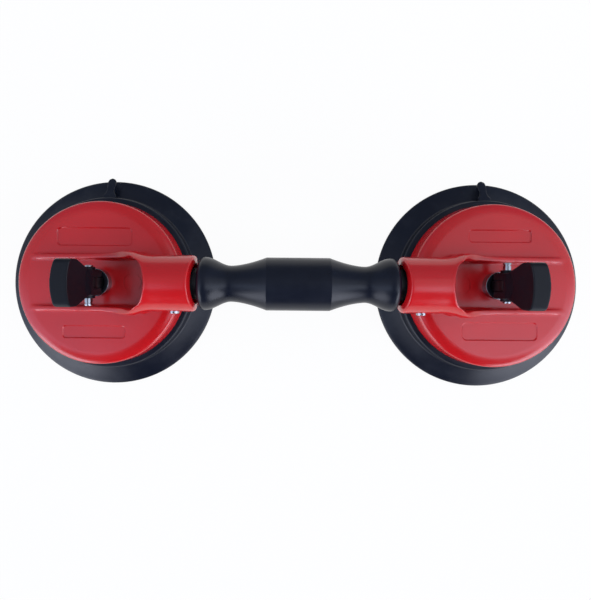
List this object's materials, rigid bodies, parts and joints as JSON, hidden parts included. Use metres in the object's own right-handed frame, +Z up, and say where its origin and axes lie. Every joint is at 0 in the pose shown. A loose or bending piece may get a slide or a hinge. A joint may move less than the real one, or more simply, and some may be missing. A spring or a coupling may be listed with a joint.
{
  "type": "two-cup suction lifter",
  "caption": "Hand lifter for glass: round suction cups with cam levers on tilting heads at the ends of a waisted grip.",
  "frame": {"origin": "midway between the two cups, on the plane that both pads stand on", "axes": "+X along the handle, +Y across it towards the pull tabs, +Z up"},
  "size_m": [0.335, 0.1207, 0.0717],
  "materials": {
    "pad_rubber": "matte moulded rubber",
    "red_plastic": "glossy moulded plastic",
    "black_plastic": "satin moulded plastic",
    "grip_plastic": "satin moulded plastic",
    "bright_steel": "bright plated steel",
    "plain_steel": "zinc-plated steel",
    "black_steel": "black painted steel",
    "bronze": "plain sintered bronze"
  },
  "bodies": {
    "handle": {"grip": "grip_plastic", "handle_core": "black_steel", "left_hinge_bush": "bronze", "right_hinge_bush": "bronze"},
    "left_head": {"left_housing": "red_plastic", "left_suction_pad": "pad_rubber", "left_guide_bush": "black_plastic", "left_cam_ring": "bright_steel", "left_hinge_pin": "bright_steel", "left_return_spring": "plain_steel"},
    "left_stud": {"left_pull_stud": "black_steel", "left_pad_plate": "plain_steel", "left_lever_pin": "bright_steel"},
    "left_lever": {"left_lever": "black_plastic"},
    "right_head": {"right_housing": "red_plastic", "right_suction_pad": "pad_rubber", "right_guide_bush": "black_plastic", "right_cam_ring": "bright_steel", "right_hinge_pin": "bright_steel", "right_return_spring": "plain_steel"},
    "right_stud": {"right_pull_stud": "black_steel", "right_pad_plate": "plain_steel", "right_lever_pin": "bright_steel"},
    "right_lever": {"right_lever": "black_plastic"}
  },
  "joints": [
    {"name": "left_head_tilt", "type": "hinge", "parent": "handle", "child": "left_head", "pos_m": [-0.0628, 0, 0.0421], "axis": [0, 1, 0], "range_deg": [-8, 8]},
    {"name": "left_stud_lift", "type": "slide", "parent": "left_head", "child": "left_stud", "axis": [0, 0, 1], "range_m": [0, 0.005], "deforming": ["left_return_spring"]},
    {"name": "left_lever_swing", "type": "hinge", "parent": "left_stud", "child": "left_lever", "pos_m": [-0.1075, 0, 0.0402], "axis": [0, -1, 0], "range_deg": [0, 90]},
    {"name": "right_head_tilt", "type": "hinge", "parent": "handle", "child": "right_head", "pos_m": [0.0628, 0, 0.0421], "axis": [0, 1, 0], "range_deg": [-8, 8]},
    {"name": "right_stud_lift", "type": "slide", "parent": "right_head", "child": "right_stud", "axis": [0, 0, 1], "range_m": [0, 0.005], "deforming": ["right_return_spring"]},
    {"name": "right_lever_swing", "type": "hinge", "parent": "right_stud", "child": "right_lever", "pos_m": [0.1075, 0, 0.0402], "axis": [0, 1, 0], "range_deg": [0, 90]}
  ],
  "couplings": [
    {"joint": "left_lever_swing", "follows": "left_stud_lift", "rad_per_m": 314.16},
    {"joint": "right_lever_swing", "follows": "right_stud_lift", "rad_per_m": 314.16}
  ]
}
